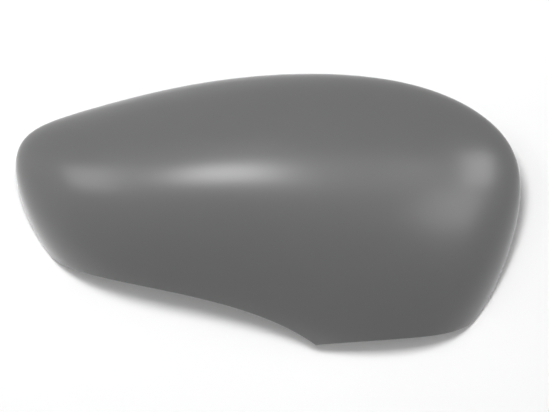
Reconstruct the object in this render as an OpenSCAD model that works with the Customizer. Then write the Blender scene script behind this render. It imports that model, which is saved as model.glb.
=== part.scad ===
// Outer cover of a car's wing mirror: one thin moulded shell with its snap hooks and ribs inside.
// It lies on its open side. X runs to the round outer end, Y to the upper edge and Z up to the crown.
// All sizes are in millimetres.

/* [Cover] */
// Length of the cover
cover_l = 225; // [200:1:250]
// Width of the cover, from the upper edge to the tip of the lower tongue
cover_w = 121; // [108:1:134]
// Rise of the body above its widest line
crown_rise = 60; // [50:1:70]
// Depth of the skirt below the widest line, at the upper edge
skirt_h = 27.5; // [22:0.5:32]
// How far the skirt tucks in under the widest line, at its deepest
skirt_tuck = 1.2; // [0:0.1:2.5]
// Thickness of the moulded wall
wall = 2.5; // [2:0.1:3.2]

/* [Edge] */
// Distance of the sharp inner corner from the inner end, along the cover
inner_corner = 14; // [12:0.5:20]
// Distance of the rounded outer corner from the outer end, along the cover
outer_corner = 16.5; // [14:0.5:22]
// Distance of the tongue tip past mid length, towards the outer end
tongue_x = 21.5; // [14:0.5:30]
// Thickness that the stepped edge leaves of the wall
lip_t = 1.4; // [1:0.1:1.8]
// Height of the stepped edge
lip_h = 3; // [1.5:0.5:5]

/* [Snap hooks] */
// Width of a hook
hook_w = 10; // [7:0.5:14]
// Thickness of a hook's finger
hook_t = 1.8; // [1.4:0.1:2.4]
// Length of a hook's finger
hook_l = 13; // [10:0.5:16]
// Slot between a hook's finger and the wall
hook_gap = 3; // [2:0.2:3.8]
// Height of a hook's tip above the rim
hook_lift = 2.5; // [1.5:0.5:4]
// Reach of the barb at a hook's tip
barb = 1.4; // [0.8:0.1:2]
// Thickness of the webs that stiffen a hook
web_t = 1.2; // [0.8:0.1:1.8]
// Distance of the inner fingers from the trimmed edge
finger_in = 15; // [12:0.5:18]

/* [Rim ribs] */
// Thickness of a rib
rib_t = 1.4; // [1:0.1:2]
// How far a rib stands out of the inner wall
rib_out = 2; // [1:0.1:3]
// Height of a rib
rib_h = 10; // [7:0.5:12]

/* [Hidden] */

half_l = cover_l / 2;
half_w = cover_w / 2;

// The body is a ball that is stretched and bent. These Bezier controls run from its inner to its
// outer end: the middle of the outline and its half width, as shares of half the cover's width,
// and the rise of the crown, as a share of crown_rise.
middle_along = [0.31, -0.31, 0.27, 0.02, -0.51, 0.15];
width_along = [1, 0.95, 0.93, 0.79, 1.62, 1.31];
rise_along = [0.98, 0.48, 0.65, 0.8];
// Above 1 this draws the flanks in straighter than a ball's
crown_power = 1.4;
// Where the two trimmed edges bend, as shares of their chord along it and across it
cut_leave = [0.11, -0.09];
cut_arrive = [0.66, 0.11];
lower_leave = [0.65, -0.07];
// Pull of the outline's own direction on the rounded outer corner
corner_pull = 0.2;

// Facets: steps along each stretch of the edge, and rows from the crown to the rim
end_steps = 6;
outline_steps = 32;
cut_steps = 22;
lower_steps = 14;
// Above 1 this crowds the cut's steps towards the sharp corner, where the edge climbs fast
cut_crowding = 1.5;
shell_rows = 22;
core_rows = 11;
// Degrees of a meridian that stand for one millimetre of skirt
skirt_turn = 1.2;
slope_step = 0.01;

// Angles round the outline at which the hooks and the ribs stand, from the outer end
hook_angles = [-18, 20, 56, 88, 120, 152, 188];
rib_angles = [-6, 6, 34, 45, 67, 78, 99, 110, 131, 142, 164, 176];
// Shares of the trimmed edges at which the inner fingers stand
cut_fingers = [0.3, 0.66];
lower_fingers = [0.3, 0.72];
finger_web = 6;
gusset_h = 7;
barb_h = 3.5;
tip_land = 0.7;
rib_chamfer = 1.5;
above_all = 200;

// A point of a Bezier curve of any degree
function bez(c, t) =
    len(c) == 1 ? c[0] : bez([for (i = [0 : len(c) - 2]) c[i] * (1 - t) + c[i + 1] * t], t);
function unit(v) = v / norm(v);
function spread(from, to, steps) = [for (i = [0 : steps - 1]) from + (to - from) * i / steps];

// The unit disc stands for the body's outline, so its rim is the widest line
function along(x) = (x / half_l + 1) / 2;
function plan(q) = let (u = (q.x + 1) / 2)
    [half_l * q.x, half_w * (bez(middle_along, u) + bez(width_along, u) * q.y)];
function disc(p) =
    [p.x / half_l, (p.y / half_w - bez(middle_along, along(p.x))) / bez(width_along, along(p.x))];
function outline(phi) = plan([cos(phi), sin(phi)]);
function outline_way(phi) = unit(outline(phi + slope_step) - outline(phi - slope_step));

// The corners, the tongue and the two trimmed edges in plan
inner_phi = 360 - acos(inner_corner / half_l - 1);
outer_phi = -acos(1 - outer_corner / half_l);
inner_pt = outline(inner_phi);
outer_pt = outline(outer_phi);
top_y = max([for (phi = [45 : 135]) outline(phi).y]);
tongue = [tongue_x, top_y - cover_w];
function beside(p, q, share) = p + share.x * (q - p) + share.y * [p.y - q.y, q.x - p.x];
cut = [inner_pt, beside(inner_pt, tongue, cut_leave), beside(inner_pt, tongue, cut_arrive), tongue];
lower = [
    tongue,
    beside(tongue, outer_pt, lower_leave),
    outer_pt - corner_pull * norm(outer_pt - tongue) * outline_way(outer_phi),
    outer_pt
];

// The widest line lies in a plane that meets the resting plane on the line through both corners
function side(p) = cross(outer_pt - inner_pt, [p.x, p.y] - inner_pt);
side_top = max([for (phi = [0 : 180]) side(outline(phi))]);
function parting(p) = skirt_h * side(p) / side_top;

// The whole edge, once round from the outer corner, on the disc, with the skirt below each point
outline_phis = concat(
    spread(outer_phi, 0, end_steps),
    spread(0, 180, outline_steps),
    spread(180, inner_phi, end_steps)
);
trimmed = concat(
    [for (t = spread(0, 1, cut_steps)) disc(bez(cut, pow(t, cut_crowding)))],
    [for (t = spread(0, 1, lower_steps)) disc(bez(lower, t))]
);
edge = concat([for (phi = outline_phis) [cos(phi), sin(phi)]], trimmed);
skirt = concat([for (phi = outline_phis) max(0, parting(outline(phi)))], [for (q = trimmed) 0]);
count = len(edge);
edge_ys = [for (q = edge) plan(q).y];
middle_y = (max(edge_ys) + min(edge_ys)) / 2;

// The way out of the body at a point of its skin, from the slopes of its equation
function rise_at(x) = crown_rise * bez(rise_along, along(x));
function share_up(p, z) = (z - parting(p)) / rise_at(p.x);
function skin_way(p, z) = let (
        d = slope_step,
        across = disc(p).y,
        pull = 2 / crown_power * pow(max(0, share_up(p, z)), 2 / crown_power - 1),
        across_x = (disc(p + [d, 0]).y - disc(p - [d, 0]).y) / (2 * d),
        across_y = (disc(p + [0, d]).y - disc(p - [0, d]).y) / (2 * d),
        up_x = (share_up(p + [d, 0], z) - share_up(p - [d, 0], z)) / (2 * d),
        up_y = (share_up(p + [0, d], z) - share_up(p - [0, d], z)) / (2 * d)
    ) unit([
        2 * p.x / pow(half_l, 2) + 2 * across * across_x + pull * up_x,
        2 * across * across_y + pull * up_y,
        pull / rise_at(p.x)
    ]);

// A point of the shell: a share of the way from the crown to the rim, inside the skin by inset
function shell_pt(q, drop, share, inset) = let (
        reach = asin(min(1, norm(q))),
        turn = share * (reach + drop * skirt_turn),
        tilt = min(turn, reach),
        down = (turn - tilt) / skirt_turn,
        p = plan(unit(q) * sin(tilt)),
        z = parting(p) + rise_at(p.x) * pow(cos(tilt), crown_power),
        s = [p.x, p.y, z - down] - (inset + skirt_tuck * pow(down / skirt_h, 2)) * skin_way(p, z)
    ) [s.x, s.y, max(0, s.z)];
function lip_share(q, drop) =
    lip_h * 0.03 / norm(shell_pt(q, drop, 1, 0) - shell_pt(q, drop, 0.97, 0));
// A row says how far down it lies, whether it stops short of the stepped edge, and its inset
function ring(row) = [for (i = [0 : count - 1])
    shell_pt(edge[i], skirt[i], row[0] * (1 - row[1] * lip_share(edge[i], skirt[i])), row[2])];

// Faces of a closed skin: a crown point, rings of points and, if it has one, a last point
function crown_fan() = [for (i = [0 : count - 1]) [0, 1 + (i + 1) % count, 1 + i]];
function bands(rings) = [for (r = [0 : rings - 2], i = [0 : count - 1])
    let (a = 1 + r * count, j = (i + 1) % count)
    each [[a + i, a + j, a + count + j], [a + i, a + count + j, a + count + i]]];
function last_fan(rings) = let (a = 1 + (rings - 1) * count)
    [for (i = [0 : count - 1]) [a + i, a + (i + 1) % count, a + count]];

// The thin wall: down the outside, across the rim, up the stepped edge and back to the crown
module shell() {
    rows = concat(
        [for (r = [1 : shell_rows]) [r / shell_rows, 0, 0]],
        [[1, 0, lip_t], [1, 1, lip_t]],
        [for (r = [shell_rows - 1 : -1 : 1]) [r / (shell_rows - 1), 1, wall]]
    );
    polyhedron(
        points = concat(
            [shell_pt(edge[0], 0, 0, 0)],
            [for (row = rows) each ring(row)],
            [shell_pt(edge[0], 0, 0, wall)]
        ),
        faces = concat(crown_fan(), bands(len(rows)), last_fan(len(rows))),
        convexity = 6
    );
}

// The space inside the middle of the wall, which trims what is moulded onto the wall
module core() {
    rings = [for (r = [1 : core_rows]) ring([r / core_rows, 0, wall / 2])];
    base = [for (s = rings[core_rows - 1]) [s.x, s.y, -1]];
    polyhedron(
        points = concat([shell_pt(edge[0], 0, 0, wall / 2)], [for (r = rings) each r], base),
        faces = concat(
            crown_fan(),
            bands(core_rows + 1),
            [[for (i = [0 : count - 1]) 1 + core_rows * count + i]]
        ),
        convexity = 6
    );
}

// Puts children on the rim at an angle round the outline, with X pointing inwards
module on_rim(phi) {
    p = outline(phi);
    way = skin_way(p, parting(p));
    in = wall + skirt_tuck * pow(parting(p) / skirt_h, 2);
    translate([p.x, p.y, 0])
        rotate([0, 0, atan2(way.y, way.x) + 180])
            translate([in, 0, 0])
                children();
}

// A plate across the hook: its outline is drawn with X inwards and Y up
module across_hook(w) {
    rotate([90, 0, 0])
        linear_extrude(w, center = true)
            children();
}

// A snap hook: an arm off the wall, a finger down beside it and a barb at the tip
module rim_hook() {
    top = hook_lift + hook_l;
    near = hook_gap;
    far = hook_gap + hook_t;
    across_hook(hook_w)
        polygon([
            [-2 * wall, top], [far, top], [far, hook_lift + barb_h],
            [far + barb, hook_lift + barb_h], [near + tip_land, hook_lift],
            [near, hook_lift], [near, top - hook_t], [-2 * wall, top - hook_t]
        ]);
    for (s = [-1, 1])
        translate([0, s * (hook_w - web_t) / 2, 0])
            across_hook(web_t)
                polygon([
                    [-2 * wall, top - hook_t / 2], [far, top - hook_t / 2],
                    [-2 * wall, top + gusset_h]
                ]);
}

// A short rib that keeps the rim's distance from the housing inside it
module rim_rib() {
    low = lip_h + rib_chamfer;
    hull() {
        translate([-wall / 2, 0, lip_h])
            cylinder(d = rib_t, h = rib_h + 2 * rib_chamfer, $fn = 12);
        translate([rib_out - rib_t / 2, 0, low])
            cylinder(d = rib_t, h = rib_h, $fn = 12);
    }
}

// An inner finger: it hangs from the crown's underside near a trimmed edge, with a web behind it
module inner_finger(curve, t) {
    p = bez(curve, t);
    way = unit(bez(curve, t + slope_step) - bez(curve, t - slope_step));
    q = disc(p);
    tip = parting(p) + rise_at(p.x) * pow(1 - q * q, crown_power / 2) + hook_lift;
    translate([p.x, p.y, tip])
        rotate([0, 0, atan2(way.y, way.x) + 90])
            translate([finger_in, 0, 0]) {
                across_hook(hook_w)
                    polygon([
                        [0, above_all], [0, barb_h], [-barb, barb_h], [hook_t - tip_land, 0],
                        [hook_t, 0], [hook_t, above_all]
                    ]);
                across_hook(web_t)
                    polygon([
                        [hook_t / 2, barb_h], [hook_t, barb_h],
                        [hook_t + finger_web, barb_h + 3 * finger_web],
                        [hook_t + finger_web, above_all], [hook_t / 2, above_all]
                    ]);
            }
}

module mirror_cover() {
    color([0.41, 0.41, 0.41])
        translate([0, -middle_y, 0]) {
            shell();
            intersection() {
                core();
                union() {
                    for (phi = hook_angles) on_rim(phi) rim_hook();
                    for (phi = rib_angles) on_rim(phi) rim_rib();
                    for (t = cut_fingers) inner_finger(cut, t);
                    for (t = lower_fingers) inner_finger(lower, t);
                }
            }
        }
}

mirror_cover();
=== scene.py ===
"""The outer cover of a car's wing mirror: a thin moulded shell in satin grey primer.

The smooth shell is worked out from the same few sizes as the solid model, in metres. Snap hooks,
inner fingers and short ribs are moulded on inside. The cover lies on its open side on a white
table, under soft lamps, and is seen from straight above.
"""

import math

import bpy
import numpy as np
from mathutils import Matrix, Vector


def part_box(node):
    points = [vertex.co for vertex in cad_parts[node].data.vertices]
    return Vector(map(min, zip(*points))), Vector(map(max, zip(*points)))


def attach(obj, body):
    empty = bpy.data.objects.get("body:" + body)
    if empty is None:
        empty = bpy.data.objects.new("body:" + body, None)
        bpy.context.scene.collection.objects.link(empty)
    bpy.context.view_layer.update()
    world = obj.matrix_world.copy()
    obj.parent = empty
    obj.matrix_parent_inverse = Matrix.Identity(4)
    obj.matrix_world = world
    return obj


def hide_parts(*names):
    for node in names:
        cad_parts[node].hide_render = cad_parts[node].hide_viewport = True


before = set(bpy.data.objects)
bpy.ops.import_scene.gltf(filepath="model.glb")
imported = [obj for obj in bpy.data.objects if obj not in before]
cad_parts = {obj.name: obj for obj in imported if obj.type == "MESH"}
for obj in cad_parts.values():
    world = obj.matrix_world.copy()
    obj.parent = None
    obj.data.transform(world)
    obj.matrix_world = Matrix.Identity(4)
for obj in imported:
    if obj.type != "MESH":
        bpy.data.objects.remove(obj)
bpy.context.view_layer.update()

MM = 0.001
NODE = "mirror_cover"

# Sizes of the cover, in metres. Its length and width come from the frame.
node_low, node_high = (np.array(corner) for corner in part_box(NODE))
HALF_L = (node_high[0] - node_low[0]) / 2
COVER_W = node_high[1] - node_low[1]
HALF_W = COVER_W / 2
CROWN_RISE = 60 * MM
SKIRT_H = 27.5 * MM
SKIRT_TUCK = 1.2 * MM
WALL = 2.5 * MM
INNER_CORNER = 14 * MM
OUTER_CORNER = 16.5 * MM
TONGUE_X = 21.5 * MM
LIP_T = 1.4 * MM
LIP_H = 3 * MM
HOOK_W = 10 * MM
HOOK_T = 1.8 * MM
HOOK_L = 13 * MM
HOOK_GAP = 3 * MM
HOOK_LIFT = 2.5 * MM
BARB = 1.4 * MM
BARB_H = 3.5 * MM
TIP_LAND = 0.7 * MM
WEB_T = 1.2 * MM
GUSSET_H = 7 * MM
FINGER_IN = 15 * MM
FINGER_WEB = 6 * MM
RIB_T = 1.4 * MM
RIB_OUT = 2 * MM
RIB_H = 10 * MM
RIB_CHAMFER = 1.5 * MM
EDGE_R = 0.45 * MM
MOULD_R = 0.22 * MM
RIB_R = 2 * MOULD_R
# The solid's flat facets lie a hair inside the true curve, and so does the smooth skin
SKIN_SINK = 0.04 * MM
# How far the web behind a finger rises for each millimetre that it runs out
WEB_SLOPE = 3
# A gusset's outer face lies just inside the hook's, so that no two faces coincide
GUSSET_SPREAD = 0.999

# Where mouldings start and end before they are trimmed to the middle of the wall, and where the
# core that trims them ends below
MOULD_ROOT = -2 * WALL
ABOVE_ALL = 0.2
WEB_TOP = 0.99 * ABOVE_ALL
CORE_BASE = -1 * MM

# Bezier controls of the body, from its inner to its outer end
MIDDLE_ALONG = (0.31, -0.31, 0.27, 0.02, -0.51, 0.15)
WIDTH_ALONG = (1, 0.95, 0.93, 0.79, 1.62, 1.31)
RISE_ALONG = (0.98, 0.48, 0.65, 0.8)
CROWN_POWER = 1.4
CUT_LEAVE = (0.11, -0.09)
CUT_ARRIVE = (0.66, 0.11)
LOWER_LEAVE = (0.65, -0.07)
CORNER_PULL = 0.2
# Degrees of a meridian that stand for one metre of skirt
SKIRT_TURN = 1200

# Where the mouldings stand: angles round the outline, in degrees, and shares of the trimmed edges
HOOK_ANGLES = (-18, 20, 56, 88, 120, 152, 188)
RIB_ANGLES = (-6, 6, 34, 45, 67, 78, 99, 110, 131, 142, 164, 176)
CUT_FINGERS = (0.3, 0.66)
LOWER_FINGERS = (0.3, 0.72)

# Steps of the smooth shell, in rows and columns
END_STEPS = 34
OUTLINE_STEPS = 170
CUT_STEPS = 84
LOWER_STEPS = 64
CUT_CROWDING = 1.5
OUTER_ROWS = 104
INNER_ROWS = 60
ROUND_STEPS = 5
SOFTEN_STEPS = 2
# Edges that turn by more degrees than this stay sharp
SMOOTH_ANGLE = 32

# Small steps for slopes and directions: in metres, in degrees or shares, and down a meridian
SLOPE_STEP = 0.01 * MM
WAY_STEP = 0.01
PACE = 0.03

# Primer: the shades and the roughness that its mottle runs between, and its patterns' fineness
DARK_PRIMER = (0.117, 0.117, 0.117, 1)
PALE_PRIMER = (0.123, 0.123, 0.123, 1)
LEAST_ROUGH, MOST_ROUGH = 0.31, 0.35
MOTTLE_SCALE, MOTTLE_DETAIL = 60, 3
PEEL_SCALE, PEEL_DETAIL = 1400, 2
PEEL_DEPTH = 0.1 * MM
PEEL_STRENGTH = 0.06

# Studio: the table and the lamps in metres, the lens in millimetres, and the picture's frame with
# the cover's length and middle in it, in pixels
TABLE_HALF = 3.0
TABLE_GLOW = 0.07
TABLE_WHITE = (0.9, 0.9, 0.9, 1)
WHITE = (1, 1, 1, 1)
LAMP_DISTANCE = 1.2
CAMERA_LENS = 300
SENSOR_W = 36
PHOTO_SIZE = (549, 412)
PHOTO_LENGTH_PX = 505.5
PHOTO_CENTRE_PX = (267.75, 210.1)

# Lamps that light things up and don't show in the gloss: name, direction, size and watts
LIGHTING_LAMPS = (
    ("lamp_above", (-0.1, 0.36, 0.93), 0.3, 10.2),
    ("lamp_upper_left", (-0.5, 0.34, 0.8), 0.3, 1.2),
    ("lamp_wide", (0, 0.1, 0.99), 1.6, 4.8),
    ("lamp_inner_end", (-0.97, -0.1, 0.1), 0.9, 7.5),
    ("lamp_outer_end", (0.97, 0, 0.2), 0.7, 4),
)
# Lamps that only show in the gloss
GLOSS_LAMPS = (
    ("gloss_middle", (-0.15, -0.01, 0.99), 0.28, 6.3),
    ("gloss_inner", (-0.69, 0, 0.73), 0.5, 4.3),
    ("gloss_inner_crown", (-0.32, 0.02, 0.95), 0.3, 0.6),
    ("gloss_outer_crown", (0.25, 0.02, 0.97), 0.5, 1.1),
    ("gloss_outer_rise", (0.5, 0.06, 0.86), 0.3, 0.7),
    ("gloss_outer", (0.84, 0.06, 0.53), 0.45, 4.8),
    ("gloss_lower", (0.62, -0.3, 0.72), 0.4, 2),
    ("gloss_lower_end", (0.78, -0.33, 0.52), 0.3, 1.2),
)


def bezier(controls, t):
    """A Bezier curve of any degree: the controls are blended in pairs, at t, until one is left."""
    level = [np.asarray(c, float) for c in controls]
    while len(level) > 1:
        level = [a * (1 - t) + b * t for a, b in zip(level, level[1:])]
    return level[0]


def unit(v):
    """The vectors with their lengths taken out."""
    return v / np.linalg.norm(v, axis=-1, keepdims=True)


def along(x):
    """How far along the cover x lies, from 0 at the inner end to 1 at the outer end."""
    return (x / HALF_L + 1) / 2


def plan(q):
    """A point of the unit disc in plan: x is the half length times q.x, and y is the half width
    times the sum of the outline's middle there and its half width there times q.y."""
    u = (q[..., 0] + 1) / 2
    y = HALF_W * (bezier(MIDDLE_ALONG, u) + bezier(WIDTH_ALONG, u) * q[..., 1])
    return np.stack([HALF_L * q[..., 0], y], -1)


def disc(p):
    """The inverse of plan: a point in plan as a point of the unit disc."""
    u = along(p[..., 0])
    across = (p[..., 1] / HALF_W - bezier(MIDDLE_ALONG, u)) / bezier(WIDTH_ALONG, u)
    return np.stack([p[..., 0] / HALF_L, across], -1)


def ring_point(phi):
    """A point of the unit disc's rim, at an angle in degrees from the outer end: the angle's
    cosine and sine."""
    angle = np.radians(phi)
    return np.stack([np.cos(angle), np.sin(angle)], -1)


def outline(phi):
    """The widest line of the body in plan."""
    return plan(ring_point(phi))


def outline_way(phi):
    """The direction of the widest line, anticlockwise."""
    return unit(outline(phi + WAY_STEP) - outline(phi - WAY_STEP))


# The outline's upper half, degree by degree
UPPER_HALF = np.arange(0, 181.0)

# The two corners by their angles round the outline, and they and the tongue in plan
INNER_PHI = 360 - math.degrees(math.acos(INNER_CORNER / HALF_L - 1))
OUTER_PHI = -math.degrees(math.acos(1 - OUTER_CORNER / HALF_L))
INNER_PT = outline(INNER_PHI)
OUTER_PT = outline(OUTER_PHI)
TOP_Y = outline(UPPER_HALF)[:, 1].max()
TONGUE = np.array([TONGUE_X, TOP_Y - COVER_W])


def beside(p, q, share):
    """A control beside the chord from p to q: a share of it along, and a share of it across."""
    chord = q - p
    return p + share[0] * chord + share[1] * np.array([-chord[1], chord[0]])


# The trimmed edges in plan: from the inner corner to the tongue, and on to the outer corner
CUT = (INNER_PT, beside(INNER_PT, TONGUE, CUT_LEAVE), beside(INNER_PT, TONGUE, CUT_ARRIVE), TONGUE)
LOWER = (
    TONGUE,
    beside(TONGUE, OUTER_PT, LOWER_LEAVE),
    OUTER_PT - CORNER_PULL * np.linalg.norm(OUTER_PT - TONGUE) * outline_way(OUTER_PHI),
    OUTER_PT,
)


def side(p):
    """Twice the area of the triangle of p and the two corners: positive above their line."""
    chord = OUTER_PT - INNER_PT
    away = p - INNER_PT
    return chord[0] * away[..., 1] - chord[1] * away[..., 0]


SIDE_TOP = side(outline(UPPER_HALF)).max()


def parting(p):
    """Height of the widest line's plane, which tips up from the line through both corners: in
    proportion to the distance from that line, up to SKIRT_H at the furthest point."""
    return SKIRT_H * side(p) / SIDE_TOP


def rise_at(x):
    """Rise of the crown above that plane at a place along the cover: CROWN_RISE times a Bezier
    curve of the place."""
    return CROWN_RISE * bezier(RISE_ALONG, along(x))


def share_up(p, z):
    """Height above the widest line's plane, as a share of the rise there."""
    return (z - parting(p)) / rise_at(p[..., 0])


def skin_way(p, z):
    """The way out of the skin, whose equation is disc x squared, plus disc y squared, plus the
    share of the rise to the power 2 over CROWN_POWER, equals 1. Its slopes are differences."""
    step_x = np.array([SLOPE_STEP, 0])
    step_y = np.array([0, SLOPE_STEP])
    across = disc(p)[..., 1]
    power = 2 / CROWN_POWER
    pull = power * np.maximum(0, share_up(p, z)) ** (power - 1)
    across_x = (disc(p + step_x)[..., 1] - disc(p - step_x)[..., 1]) / (2 * SLOPE_STEP)
    across_y = (disc(p + step_y)[..., 1] - disc(p - step_y)[..., 1]) / (2 * SLOPE_STEP)
    up_x = (share_up(p + step_x, z) - share_up(p - step_x, z)) / (2 * SLOPE_STEP)
    up_y = (share_up(p + step_y, z) - share_up(p - step_y, z)) / (2 * SLOPE_STEP)
    way_x = 2 * p[..., 0] / HALF_L**2 + 2 * across * across_x + pull * up_x
    way_y = 2 * across * across_y + pull * up_y
    way_z = pull / rise_at(p[..., 0])
    return unit(np.stack([way_x, way_y, way_z], -1))


def shell_pt(q, drop, share, inset):
    """Points of the shell. A meridian runs from the crown towards q, like a ball's, by share of
    its turn, and then straight down the skirt. Its height above the widest line's plane is the
    rise there times the cosine of the turn to the power CROWN_POWER. The point lies inside the
    skin by inset and SKIN_SINK, and on the skirt by a tuck that grows with the square of the
    depth. It never lies below the table."""
    reach = np.degrees(np.arcsin(np.minimum(1, np.linalg.norm(q, axis=-1))))
    turn = share * (reach + drop * SKIRT_TURN)
    tilt = np.minimum(turn, reach)
    down = (turn - tilt) / SKIRT_TURN
    p = plan(unit(q) * np.sin(np.radians(tilt))[..., None])
    lift = np.maximum(0, np.cos(np.radians(tilt))) ** CROWN_POWER
    z = parting(p) + rise_at(p[..., 0]) * lift
    skin = np.stack([p[..., 0], p[..., 1], z - down], -1)
    inward = inset + SKIN_SINK + SKIRT_TUCK * (down / SKIRT_H) ** 2
    point = skin - inward[..., None] * skin_way(p, z)
    point[..., 2] = np.maximum(0, point[..., 2])
    return point


def whole_edge():
    """The edge once round from the outer corner: its points on the unit disc, and the depth of
    skirt below each. The widest line gives the first stretch and the trimmed edges the rest."""
    def spread(start, stop, steps):
        return start + (stop - start) * np.arange(steps) / steps

    phi = np.concatenate([
        spread(OUTER_PHI, 0, END_STEPS),
        spread(0, 180, OUTLINE_STEPS),
        spread(180, INNER_PHI, END_STEPS),
    ])
    cut_t = spread(0, 1, CUT_STEPS)[:, None] ** CUT_CROWDING
    lower_t = spread(0, 1, LOWER_STEPS)[:, None]
    trimmed = disc(np.concatenate([bezier(CUT, cut_t), bezier(LOWER, lower_t)]))
    edge = np.concatenate([ring_point(phi), trimmed])
    skirt = np.concatenate([np.maximum(0, parting(outline(phi))), np.zeros(len(trimmed))])
    return edge, skirt


EDGE, SKIRT = whole_edge()
EDGE_Y = plan(EDGE)[:, 1]
MIDDLE_Y = (EDGE_Y.max() + EDGE_Y.min()) / 2


def settle(points):
    """The points moved so that the origin is in the middle of the cover's box in plan."""
    return points - np.array([0, MIDDLE_Y, 0])


def ring(share, back, inset):
    """One ring of the shell: share is how far down it lies on a way that stops short of the rim
    by the distance back, and inset is its depth inside the skin. A meridian's length is taken
    from its last short pace."""
    ones = np.ones(len(EDGE))
    last = shell_pt(EDGE, SKIRT, ones, 0 * ones)
    before = shell_pt(EDGE, SKIRT, (1 - PACE) * ones, 0 * ones)
    length = np.linalg.norm(last - before, axis=-1) / PACE
    return shell_pt(EDGE, SKIRT, share * (1 - back / length), inset * ones)


def round_corner(radius, inset, from_outside):
    """Rings of a quarter round at the rim, by the sine and cosine of a quarter turn: from the
    outer face to the rim's flat, or from the flat up to the face that lies inside by inset."""
    rings = []
    for k in range(ROUND_STEPS + 1):
        a = math.radians(90 * k / ROUND_STEPS)
        sine_gap = radius * (1 - math.sin(a))
        cosine_gap = radius * (1 - math.cos(a))
        if from_outside:
            rings.append((1, sine_gap, inset + cosine_gap))
        else:
            rings.append((1, cosine_gap, inset - sine_gap))
    return rings


def mesh_object(name, points, faces, smooth=True):
    """A mesh object from points and faces, with its place in the mesh."""
    mesh = bpy.data.meshes.new(name)
    mesh.from_pydata(points.tolist(), [], faces)
    mesh.update()
    mesh.polygons.foreach_set("use_smooth", [smooth] * len(mesh.polygons))
    made = bpy.data.objects.new(name, mesh)
    bpy.context.scene.collection.objects.link(made)
    return made


def closed_skin(name, first, rings, last):
    """A closed skin: a fan from the first point, bands of quads between rings, and a fan to the
    last point. Where last is None, one flat face closes the last ring."""
    count = len(rings[0])
    i = np.arange(count)
    j = (i + 1) % count
    faces = [(0, 1 + a, 1 + b) for a, b in zip(i.tolist(), j.tolist())]
    starts = (1 + count * np.arange(len(rings) - 1))[:, None]
    quads = np.stack([starts + i, starts + count + i, starts + count + j, starts + j], -1)
    faces += quads.reshape(-1, 4).tolist()
    end = 1 + count * (len(rings) - 1)
    points = [first[None], *rings]
    if last is None:
        faces.append((end + i[::-1]).tolist())
    else:
        points.append(last[None])
        faces += [(end + b, end + a, end + count) for a, b in zip(i.tolist(), j.tolist())]
    return mesh_object(name, settle(np.concatenate(points)), faces)


def crown_point(inset):
    """The point where all meridians start, inside the skin by inset."""
    return shell_pt(EDGE[:1], np.zeros(1), np.zeros(1), np.full(1, inset))[0]


def make_shell():
    """The thin wall, as rings from the crown down the outside, round the rim's rounded edges,
    up the stepped edge and back under the crown."""
    outside = [(k / OUTER_ROWS, EDGE_R, 0) for k in range(1, OUTER_ROWS)]
    rim = round_corner(EDGE_R, 0, True)
    lip = round_corner(MOULD_R, LIP_T, False)
    step = [(1, LIP_H, LIP_T), (1, LIP_H, WALL)]
    inside = [(k / INNER_ROWS, LIP_H, WALL) for k in range(INNER_ROWS - 1, 0, -1)]
    rings = [ring(*row) for row in outside + rim + lip + step + inside]
    return closed_skin("cover_shell", crown_point(0), rings, crown_point(WALL))


def make_core():
    """The space inside the middle of the wall, closed below, which trims what is moulded on."""
    rings = [ring(k / INNER_ROWS, 0, WALL / 2) for k in range(1, INNER_ROWS + 1)]
    base = rings[-1].copy()
    base[:, 2] = CORE_BASE
    return closed_skin("core", crown_point(WALL / 2), rings + [base], None)


def prism(name, outline_xz, width, place, heading, offset=0.0):
    """A closed solid: a flat outline, with X inwards and Z up, is carried across by width, moved
    sideways by offset, turned to heading and put at place."""
    flat = np.array(outline_xz, float)
    area = np.dot(flat[:, 0], np.roll(flat[:, 1], -1)) - np.dot(flat[:, 1], np.roll(flat[:, 0], -1))
    if area > 0:
        flat = flat[::-1]
    count = len(flat)
    near, far = (np.stack([flat[:, 0], np.full(count, y), flat[:, 1]], -1)
                 for y in (offset - width / 2, offset + width / 2))
    local = np.concatenate([near, far])
    c, s = math.cos(heading), math.sin(heading)
    turned = np.stack([c * local[:, 0] - s * local[:, 1], s * local[:, 0] + c * local[:, 1],
                       local[:, 2]], -1)
    faces = [list(range(count - 1, -1, -1)), list(range(count, 2 * count))]
    faces += [[k, (k + 1) % count, count + (k + 1) % count, count + k] for k in range(count)]
    return mesh_object(name, settle(turned + place), faces, False)


def combine(piece, others, operation):
    """Joins or trims a mesh with others, and takes the others away."""
    for other in others:
        step = piece.modifiers.new("combine", "BOOLEAN")
        step.operation = operation
        step.solver = "MANIFOLD"
        step.object = other
        with bpy.context.temp_override(object=piece, active_object=piece):
            bpy.ops.object.modifier_apply(modifier=step.name)
        bpy.data.objects.remove(other)
    return piece


def soften(piece, width):
    """Rounds a small moulding's edges."""
    bevel = piece.modifiers.new("soften", "BEVEL")
    bevel.width = width
    bevel.segments = SOFTEN_STEPS
    bevel.limit_method = "ANGLE"
    with bpy.context.temp_override(object=piece, active_object=piece):
        bpy.ops.object.modifier_apply(modifier=bevel.name)
    return piece


def rim_place(phi):
    """Where the rim's inner face stands at an angle round the outline, and the heading inwards."""
    p = outline(phi)
    way = skin_way(p, parting(p))
    inward = WALL + SKIRT_TUCK * (parting(p) / SKIRT_H) ** 2
    place = np.array([p[0] - way[0] * inward, p[1] - way[1] * inward, 0])
    return place, math.atan2(-way[1], -way[0])


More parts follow.
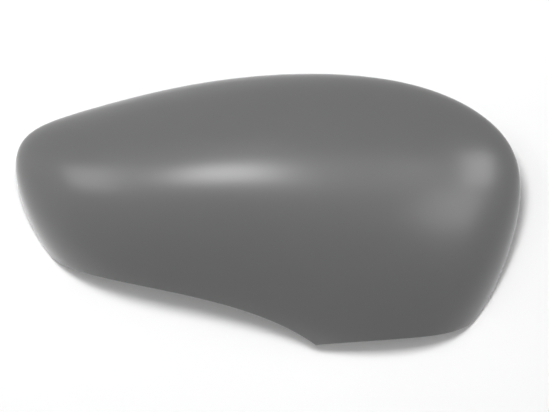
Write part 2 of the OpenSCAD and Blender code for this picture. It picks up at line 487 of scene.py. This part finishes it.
def rim_hook(phi):
    """A snap hook on the rim: an arm off the wall, a finger down beside it, a barb at its tip
    and two gussets above the arm."""
    place, heading = rim_place(phi)
    top = HOOK_LIFT + HOOK_L
    far = HOOK_GAP + HOOK_T
    hook = prism("hook", [
        (MOULD_ROOT, top), (far, top), (far, HOOK_LIFT + BARB_H), (far + BARB, HOOK_LIFT + BARB_H),
        (HOOK_GAP + TIP_LAND, HOOK_LIFT), (HOOK_GAP, HOOK_LIFT), (HOOK_GAP, top - HOOK_T),
        (MOULD_ROOT, top - HOOK_T),
    ], HOOK_W, place, heading)
    low = top - HOOK_T / 2
    gusset = [(MOULD_ROOT, low), (far, low), (MOULD_ROOT, top + GUSSET_H)]
    gussets = [
        prism("gusset", gusset, WEB_T, place, heading, s * (HOOK_W - WEB_T) / 2 * GUSSET_SPREAD)
        for s in (-1, 1)
    ]
    return soften(combine(hook, gussets, "UNION"), MOULD_R)


def rim_rib(phi):
    """A short rib on the rim's inner face, chamfered at both ends."""
    place, heading = rim_place(phi)
    low = LIP_H + RIB_CHAMFER
    top = low + RIB_H
    rib = prism("rib", [
        (MOULD_ROOT, LIP_H), (0, LIP_H), (RIB_OUT, low), (RIB_OUT, top),
        (0, top + RIB_CHAMFER), (MOULD_ROOT, top + RIB_CHAMFER),
    ], RIB_T, place, heading)
    return soften(rib, RIB_R)


def inner_finger(curve, t):
    """A finger that hangs under the crown near a trimmed edge, with a barb and a web behind."""
    p = bezier(curve, t)
    way = unit(bezier(curve, t + WAY_STEP) - bezier(curve, t - WAY_STEP))
    q = disc(p)
    rise = rise_at(p[0]) * (1 - q @ q) ** (CROWN_POWER / 2)
    heading = math.atan2(way[1], way[0]) + math.pi / 2
    inward = FINGER_IN * np.array([math.cos(heading), math.sin(heading)])
    place = np.array([p[0] + inward[0], p[1] + inward[1], parting(p) + rise + HOOK_LIFT])
    finger = prism("finger", [
        (0, ABOVE_ALL), (0, BARB_H), (-BARB, BARB_H), (HOOK_T - TIP_LAND, 0),
        (HOOK_T, 0), (HOOK_T, ABOVE_ALL),
    ], HOOK_W, place, heading)
    web = prism("web", [
        (HOOK_T / 2, BARB_H), (HOOK_T, BARB_H),
        (HOOK_T + FINGER_WEB, BARB_H + WEB_SLOPE * FINGER_WEB),
        (HOOK_T + FINGER_WEB, WEB_TOP), (HOOK_T / 2, WEB_TOP),
    ], WEB_T, place, heading)
    return soften(combine(finger, [web], "UNION"), MOULD_R)


def join(pieces, name):
    """One mesh of several that don't touch."""
    first = pieces[0]
    with bpy.context.temp_override(
        active_object=first,
        object=first,
        selected_objects=pieces,
        selected_editable_objects=pieces,
    ):
        bpy.ops.object.join()
    first.name = name
    return first


def make_cover():
    """The whole cover: the shell with its hooks, ribs and fingers moulded on."""
    mouldings = [rim_hook(phi) for phi in HOOK_ANGLES]
    mouldings += [rim_rib(phi) for phi in RIB_ANGLES]
    mouldings += [inner_finger(CUT, t) for t in CUT_FINGERS]
    mouldings += [inner_finger(LOWER, t) for t in LOWER_FINGERS]
    inside = combine(join(mouldings, "mouldings"), [make_core()], "INTERSECT")
    cover = combine(make_shell(), [inside], "UNION")
    with bpy.context.temp_override(
        object=cover, active_object=cover, selected_editable_objects=[cover]
    ):
        bpy.ops.object.shade_smooth_by_angle(angle=math.radians(SMOOTH_ANGLE))
    return cover


def new_material(name):
    """A new node material, with its nodes and links."""
    material = bpy.data.materials.new(name)
    material.use_nodes = True
    return material, material.node_tree.nodes, material.node_tree.links


def set_inputs(node, values):
    """Sets a node's own inputs by their names."""
    for name, value in values.items():
        node.inputs[name].default_value = value


def noise(nodes, links, place, scale, detail):
    """A soft noise over the piece's own coordinates: its level, from 0 to 1."""
    texture = nodes.new("ShaderNodeTexNoise")
    set_inputs(texture, {"Scale": scale, "Detail": detail})
    links.new(place.outputs["Object"], texture.inputs["Vector"])
    return texture.outputs["Fac"]


def primer_material():
    """Satin grey primer: a broad soft gloss under a weak clear coat, and a sheen that turns it
    pale at grazing angles, with the faintest mottle in its shade and gloss, and an orange peel."""
    material, nodes, links = new_material("grey_primer")
    shader = nodes["Principled BSDF"]
    set_inputs(shader, {
        "IOR": 1.5,
        "Specular IOR Level": 0.2,
        "Sheen Weight": 1,
        "Sheen Roughness": 0.3,
        "Coat Weight": 1,
        "Coat IOR": 1.25,
        "Coat Roughness": 0.25,
    })
    place = nodes.new("ShaderNodeTexCoord")

    mottle = noise(nodes, links, place, MOTTLE_SCALE, MOTTLE_DETAIL)
    shade = nodes.new("ShaderNodeMix")
    shade.data_type = "RGBA"
    set_inputs(shade, {"A": DARK_PRIMER, "B": PALE_PRIMER})
    links.new(mottle, shade.inputs["Factor"])
    links.new(shade.outputs["Result"], shader.inputs["Base Color"])

    gloss = nodes.new("ShaderNodeMapRange")
    set_inputs(gloss, {"To Min": LEAST_ROUGH, "To Max": MOST_ROUGH})
    links.new(mottle, gloss.inputs["Value"])
    links.new(gloss.outputs["Result"], shader.inputs["Roughness"])

    peel = nodes.new("ShaderNodeBump")
    set_inputs(peel, {"Strength": PEEL_STRENGTH, "Distance": PEEL_DEPTH})
    links.new(noise(nodes, links, place, PEEL_SCALE, PEEL_DETAIL), peel.inputs["Height"])
    links.new(peel.outputs["Normal"], shader.inputs["Normal"])
    return material


def seen_rays(nodes, links):
    """1 for the rays by which the camera, a gloss or a clear part sees the room, and else 0."""
    ray = nodes.new("ShaderNodeLightPath")
    level = ray.outputs["Is Camera Ray"]
    for other in ("Is Glossy Ray", "Is Transmission Ray"):
        either = nodes.new("ShaderNodeMath")
        either.operation = "MAXIMUM"
        links.new(level, either.inputs[0])
        links.new(ray.outputs[other], either.inputs[1])
        level = either.outputs["Value"]
    return level


def table_material():
    """A white matt table that is seen a little brighter than it is lit, so that it turns out
    white while it keeps the cover's shadow."""
    material, nodes, links = new_material("white_table")
    shader = nodes["Principled BSDF"]
    set_inputs(shader, {"Base Color": TABLE_WHITE, "Roughness": 0.9, "Emission Color": WHITE})
    glow = nodes.new("ShaderNodeMath")
    glow.operation = "MULTIPLY"
    glow.inputs[1].default_value = TABLE_GLOW
    links.new(seen_rays(nodes, links), glow.inputs[0])
    links.new(glow.outputs["Value"], shader.inputs["Emission Strength"])
    return material


def make_table():
    """The table top: one flat square, level with the rim."""
    corners = np.array([(-1, -1, 0), (1, -1, 0), (1, 1, 0), (-1, 1, 0)], float) * TABLE_HALF
    table = mesh_object("table", corners, [(0, 1, 2, 3)], False)
    table.data.materials.append(table_material())


def soft_lamp(name, way, size, power):
    """A square soft lamp in the direction way from the cover, turned to face it."""
    lamp = bpy.data.lights.new(name, "AREA")
    lamp.shape = "SQUARE"
    lamp.size = size
    lamp.energy = power
    holder = bpy.data.objects.new(name, lamp)
    bpy.context.scene.collection.objects.link(holder)
    direction = unit(np.array(way, float))
    holder.location = direction * LAMP_DISTANCE
    holder.rotation_euler = Vector(-direction).to_track_quat("-Z", "Y").to_euler()
    return holder


def make_lamps():
    """Two small lamps and a broad one above, towards the upper edge, and a low one at each end
    light the cover and the table. The other panels only show in the gloss."""
    for row in LIGHTING_LAMPS:
        soft_lamp(*row).visible_glossy = False
    for row in GLOSS_LAMPS:
        soft_lamp(*row).visible_diffuse = False


def make_world():
    """A white room, which the camera and the gloss see, and which gives no light of its own."""
    world = bpy.data.worlds.new("studio")
    bpy.context.scene.world = world
    world.use_nodes = True
    nodes, links = world.node_tree.nodes, world.node_tree.links
    back = nodes["Background"]
    back.inputs["Color"].default_value = WHITE
    links.new(seen_rays(nodes, links), back.inputs["Strength"])


def make_camera():
    """A long lens straight above the cover. It stands as far above the widest line's middle
    height as makes the cover as long in the picture as in the photograph, and to one side by as
    much as puts it at the same place."""
    pixel = 2 * HALF_L / PHOTO_LENGTH_PX
    view_w = PHOTO_SIZE[0] * pixel
    camera = bpy.data.cameras.new("camera")
    camera.lens = CAMERA_LENS
    camera.sensor_width = SENSOR_W
    holder = bpy.data.objects.new("camera", camera)
    bpy.context.scene.collection.objects.link(holder)
    x = (PHOTO_SIZE[0] / 2 - PHOTO_CENTRE_PX[0]) * pixel
    y = (PHOTO_CENTRE_PX[1] - PHOTO_SIZE[1] / 2) * pixel - MIDDLE_Y
    widest_z = SKIRT_H / 2
    holder.location = (x, y, widest_z + view_w * CAMERA_LENS / SENSOR_W)
    bpy.context.scene.camera = holder


cover = make_cover()
# The booleans leave an empty material slot, so the primer would come second
cover.data.materials.clear()
cover.data.materials.append(primer_material())
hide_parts(NODE)
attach(cover, "root")
make_table()
make_lamps()
make_world()
make_camera()
bpy.context.scene.view_settings.view_transform = "Standard"
